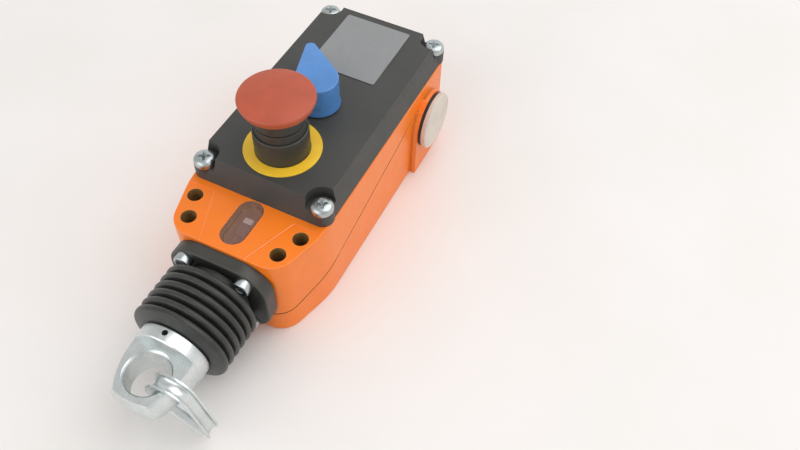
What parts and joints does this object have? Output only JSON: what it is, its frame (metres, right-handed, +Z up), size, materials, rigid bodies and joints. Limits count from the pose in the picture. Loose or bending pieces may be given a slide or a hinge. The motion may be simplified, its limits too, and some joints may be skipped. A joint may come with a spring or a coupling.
{
  "type": "rope pull switch",
  "caption": "Rope pull safety switch: orange die-cast body, eye and thimble on a sprung rod behind a bellows, red mushroom stop button, blue reset knob and indicator window.",
  "frame": {"origin": "midway between the two outer fixing holes, on the base face", "axes": "+Y along the housing from the rope end to the rear, +Z up out of the cover, +X towards the plugged cable entry"},
  "size_m": [0.062, 0.1748, 0.0744],
  "materials": {
    "orange_enamel": "satin enamel on die-cast alloy",
    "cover_grey": "satin dark grey on die-cast alloy",
    "black_plastic": "moulded, matte",
    "flange_black": "moulded, satin",
    "gaiter_rubber": "smooth moulded rubber",
    "seal_rubber": "matte",
    "red_plastic": "satin red moulding",
    "blue_plastic": "satin blue moulding",
    "yellow_film": "printed ring",
    "label_silver": "matt anodised plate",
    "clear_window": "clear lens",
    "pale_plastic": "moulded, matte",
    "plug_grey": "moulded, satin",
    "zinc_steel": "zinc plated",
    "bright_zinc": "bright zinc plating",
    "rod_steel": "ground bar",
    "spring_steel": "drawn wire",
    "bush_brass": "turned"
  },
  "bodies": {
    "body": {"housing": "orange_enamel", "cover": "cover_grey", "cover_gasket": "seal_rubber", "cover_screws": "zinc_steel", "label_plate": "label_silver", "window_lens": "clear_window", "bellows_flange": "flange_black", "flange_screws": "zinc_steel", "bellows": "gaiter_rubber", "guide_bush": "bush_brass", "spring_washer": "zinc_steel", "main_spring": "spring_steel", "rear_guide": "black_plastic", "contact_block_left": "black_plastic", "contact_block_right": "black_plastic", "terminal_screws": "zinc_steel", "block_screws": "zinc_steel", "estop_collar": "black_plastic", "estop_nut": "zinc_steel", "estop_ring": "yellow_film", "estop_spring": "spring_steel", "knob_bush": "bush_brass", "knob_seal": "seal_rubber", "cable_plug": "plug_grey", "plug_gasket": "seal_rubber", "earth_clamp": "zinc_steel", "earth_screw": "zinc_steel"},
    "puller": {"pull_rod": "rod_steel", "pull_eye": "bright_zinc", "eye_pin": "rod_steel", "indicator": "black_plastic", "indicator_tab": "pale_plastic", "spring_retainer": "zinc_steel", "switching_cam": "pale_plastic", "rod_nut": "zinc_steel"},
    "rope_thimble": {"thimble": "bright_zinc"},
    "stop_button": {"estop_button": "red_plastic", "estop_sleeve": "black_plastic", "estop_stem": "rod_steel", "stem_ring": "spring_steel"},
    "reset": {"reset_knob": "blue_plastic", "knob_shaft": "rod_steel", "knob_ring": "spring_steel", "reset_cam": "zinc_steel"},
    "plunger_left": {"contact_plunger_left": "pale_plastic"},
    "plunger_right": {"contact_plunger_right": "pale_plastic"}
  },
  "joints": [
    {"name": "pull", "type": "slide", "parent": "body", "child": "puller", "axis": [0, -1, 0], "range_m": [0, 0.005], "stiffness_N_per_m": 4000, "springref_m": -0.01, "deforming": ["bellows", "main_spring"]},
    {"name": "stop_press", "type": "slide", "parent": "body", "child": "stop_button", "axis": [0, 0, -1], "range_m": [0, 0.004], "stiffness_N_per_m": 1500, "springref_m": -0.003, "deforming": ["estop_spring"]},
    {"name": "reset_turn", "type": "hinge", "parent": "body", "child": "reset", "pos_m": [0, 0.0499, 0.0486], "axis": [0, 0, -1], "range_deg": [0, 36]},
    {"name": "thimble_swing", "type": "hinge", "parent": "puller", "child": "rope_thimble", "pos_m": [0.0089, -0.0589, 0.0225], "axis": [0, -1, 0], "range_deg": [0, 65]},
    {"name": "plunger_left_slide", "type": "slide", "parent": "body", "child": "plunger_left", "axis": [-1, 0, 0], "range_m": [0, 0.00085]},
    {"name": "plunger_right_slide", "type": "slide", "parent": "body", "child": "plunger_right", "axis": [1, 0, 0], "range_m": [0, 0.00085]}
  ],
  "couplings": [
    {"joint": "plunger_left_slide", "follows": "pull", "ratio": 0.16667},
    {"joint": "plunger_right_slide", "follows": "pull", "ratio": 0.16667}
  ]
}
